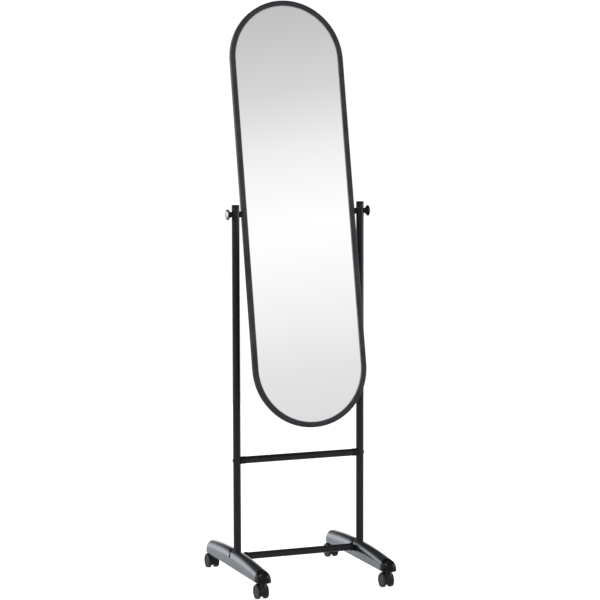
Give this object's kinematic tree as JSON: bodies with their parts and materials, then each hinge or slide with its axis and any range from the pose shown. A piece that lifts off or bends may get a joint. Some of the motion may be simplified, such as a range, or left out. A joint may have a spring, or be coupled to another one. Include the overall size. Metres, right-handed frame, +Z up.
{
  "type": "cheval floor mirror",
  "caption": "Full-length oval-ended mirror tilting between slim black uprights on grey moulded feet with twin-wheel swivel casters and hand knobs.",
  "frame": {"origin": "on the floor, below the middle of the object's bounding box", "axes": "+Z up, -Y the way the mirror faces, +X to the right for someone who stands in front of the mirror"},
  "size_m": [0.4238, 0.4684, 1.6193],
  "materials": {
    "black_steel": "satin black powder coat",
    "black_plastic": "moulded black",
    "black_bolt": "black oxide",
    "rail_steel": "dark grey coat",
    "foot_cover_grey": "glossy graphite grey",
    "nose_black": "glossy black",
    "caster_black": "moulded black nylon",
    "wheel_grey": "dark grey nylon",
    "plated_steel": "zinc plated",
    "insert_brass": "turned",
    "knob_black": "glossy black",
    "knob_cap_chrome": "polished",
    "frame_charcoal": "satin charcoal anodised",
    "mirror_glass": "silvered",
    "seal_grey": "pale grey strip",
    "backing_board": "dark hardboard"
  },
  "bodies": {
    "stand": {"upright_left": "black_steel", "upright_cap_left": "black_plastic", "middle_socket_left": "black_plastic", "lower_socket_left": "black_plastic", "middle_bolt_left": "black_bolt", "lower_bolt_left": "black_bolt", "pivot_spacer_left": "black_plastic", "foot_rail_left": "rail_steel", "foot_front_cover_left": "foot_cover_grey", "foot_rear_cover_left": "foot_cover_grey", "foot_nose_cap_left": "nose_black", "upright_right": "black_steel", "upright_cap_right": "black_plastic", "middle_socket_right": "black_plastic", "lower_socket_right": "black_plastic", "middle_bolt_right": "black_bolt", "lower_bolt_right": "black_bolt", "pivot_spacer_right": "black_plastic", "foot_rail_right": "rail_steel", "foot_front_cover_right": "foot_cover_grey", "foot_rear_cover_right": "foot_cover_grey", "foot_nose_cap_right": "nose_black", "middle_crossbar": "black_steel", "lower_crossbar": "black_steel", "front_left_caster_stem": "plated_steel", "front_right_caster_stem": "plated_steel", "rear_left_caster_stem": "plated_steel", "rear_right_caster_stem": "plated_steel"},
    "mirror": {"mirror_frame": "frame_charcoal", "mirror_glass": "mirror_glass", "glazing_seal": "seal_grey", "backing_board": "backing_board", "backing_retainer": "black_plastic", "frame_insert_left": "insert_brass", "frame_insert_right": "insert_brass"},
    "left_washer": {"knob_washer_left": "black_plastic"},
    "left_knob": {"knob_left": "knob_black", "knob_cap_left": "knob_cap_chrome", "pivot_stud_left": "plated_steel"},
    "right_washer": {"knob_washer_right": "black_plastic"},
    "right_knob": {"knob_right": "knob_black", "knob_cap_right": "knob_cap_chrome", "pivot_stud_right": "plated_steel"},
    "front_left_caster": {"front_left_caster_body": "caster_black", "front_left_caster_axle": "plated_steel"},
    "front_left_caster_outer_wheel": {"front_left_caster_outer_wheel": "wheel_grey"},
    "front_left_caster_inner_wheel": {"front_left_caster_inner_wheel": "wheel_grey"},
    "front_right_caster": {"front_right_caster_body": "caster_black", "front_right_caster_axle": "plated_steel"},
    "front_right_caster_outer_wheel": {"front_right_caster_outer_wheel": "wheel_grey"},
    "front_right_caster_inner_wheel": {"front_right_caster_inner_wheel": "wheel_grey"},
    "rear_left_caster": {"rear_left_caster_body": "caster_black", "rear_left_caster_axle": "plated_steel"},
    "rear_left_caster_outer_wheel": {"rear_left_caster_outer_wheel": "wheel_grey"},
    "rear_left_caster_inner_wheel": {"rear_left_caster_inner_wheel": "wheel_grey"},
    "rear_right_caster": {"rear_right_caster_body": "caster_black", "rear_right_caster_axle": "plated_steel"},
    "rear_right_caster_outer_wheel": {"rear_right_caster_outer_wheel": "wheel_grey"},
    "rear_right_caster_inner_wheel": {"rear_right_caster_inner_wheel": "wheel_grey"}
  },
  "joints": [
    {"name": "mirror_tilt", "type": "hinge", "parent": "stand", "child": "mirror", "pos_m": [0, -0.00525, 1.034], "axis": [1, 0, 0], "continuous": true},
    {"name": "left_knob_travel", "type": "slide", "parent": "stand", "child": "left_washer", "axis": [-1, 0, 0], "range_m": [0, 0.002]},
    {"name": "left_knob_turn", "type": "hinge", "parent": "left_washer", "child": "left_knob", "pos_m": [-0.185, -0.00525, 1.034], "axis": [-1, 0, 0], "range_deg": [0, 720]},
    {"name": "right_knob_travel", "type": "slide", "parent": "stand", "child": "right_washer", "axis": [1, 0, 0], "range_m": [0, 0.002]},
    {"name": "right_knob_turn", "type": "hinge", "parent": "right_washer", "child": "right_knob", "pos_m": [0.185, -0.00525, 1.034], "axis": [1, 0, 0], "range_deg": [0, 720]},
    {"name": "front_left_caster_swivel", "type": "hinge", "parent": "stand", "child": "front_left_caster", "pos_m": [-0.185, -0.20975, 0.045], "axis": [0, 0, 1], "continuous": true},
    {"name": "front_left_outer_wheel_roll", "type": "hinge", "parent": "front_left_caster", "child": "front_left_caster_outer_wheel", "pos_m": [-0.185, -0.19475, 0.02], "axis": [1, 0, 0], "continuous": true},
    {"name": "front_left_inner_wheel_roll", "type": "hinge", "parent": "front_left_caster", "child": "front_left_caster_inner_wheel", "pos_m": [-0.185, -0.19475, 0.02], "axis": [1, 0, 0], "continuous": true},
    {"name": "front_right_caster_swivel", "type": "hinge", "parent": "stand", "child": "front_right_caster", "pos_m": [0.185, -0.20975, 0.045], "axis": [0, 0, 1], "continuous": true},
    {"name": "front_right_outer_wheel_roll", "type": "hinge", "parent": "front_right_caster", "child": "front_right_caster_outer_wheel", "pos_m": [0.185, -0.19475, 0.02], "axis": [1, 0, 0], "continuous": true},
    {"name": "front_right_inner_wheel_roll", "type": "hinge", "parent": "front_right_caster", "child": "front_right_caster_inner_wheel", "pos_m": [0.185, -0.19475, 0.02], "axis": [1, 0, 0], "continuous": true},
    {"name": "rear_left_caster_swivel", "type": "hinge", "parent": "stand", "child": "rear_left_caster", "pos_m": [-0.185, 0.19925, 0.045], "axis": [0, 0, 1], "continuous": true},
    {"name": "rear_left_outer_wheel_roll", "type": "hinge", "parent": "rear_left_caster", "child": "rear_left_caster_outer_wheel", "pos_m": [-0.185, 0.21425, 0.02], "axis": [1, 0, 0], "continuous": true},
    {"name": "rear_left_inner_wheel_roll", "type": "hinge", "parent": "rear_left_caster", "child": "rear_left_caster_inner_wheel", "pos_m": [-0.185, 0.21425, 0.02], "axis": [1, 0, 0], "continuous": true},
    {"name": "rear_right_caster_swivel", "type": "hinge", "parent": "stand", "child": "rear_right_caster", "pos_m": [0.185, 0.19925, 0.045], "axis": [0, 0, 1], "continuous": true},
    {"name": "rear_right_outer_wheel_roll", "type": "hinge", "parent": "rear_right_caster", "child": "rear_right_caster_outer_wheel", "pos_m": [0.185, 0.21425, 0.02], "axis": [1, 0, 0], "continuous": true},
    {"name": "rear_right_inner_wheel_roll", "type": "hinge", "parent": "rear_right_caster", "child": "rear_right_caster_inner_wheel", "pos_m": [0.185, 0.21425, 0.02], "axis": [1, 0, 0], "continuous": true}
  ],
  "couplings": [
    {"joint": "left_knob_turn", "follows": "left_knob_travel", "rad_per_m": 6283.2},
    {"joint": "right_knob_turn", "follows": "right_knob_travel", "rad_per_m": 6283.2}
  ]
}
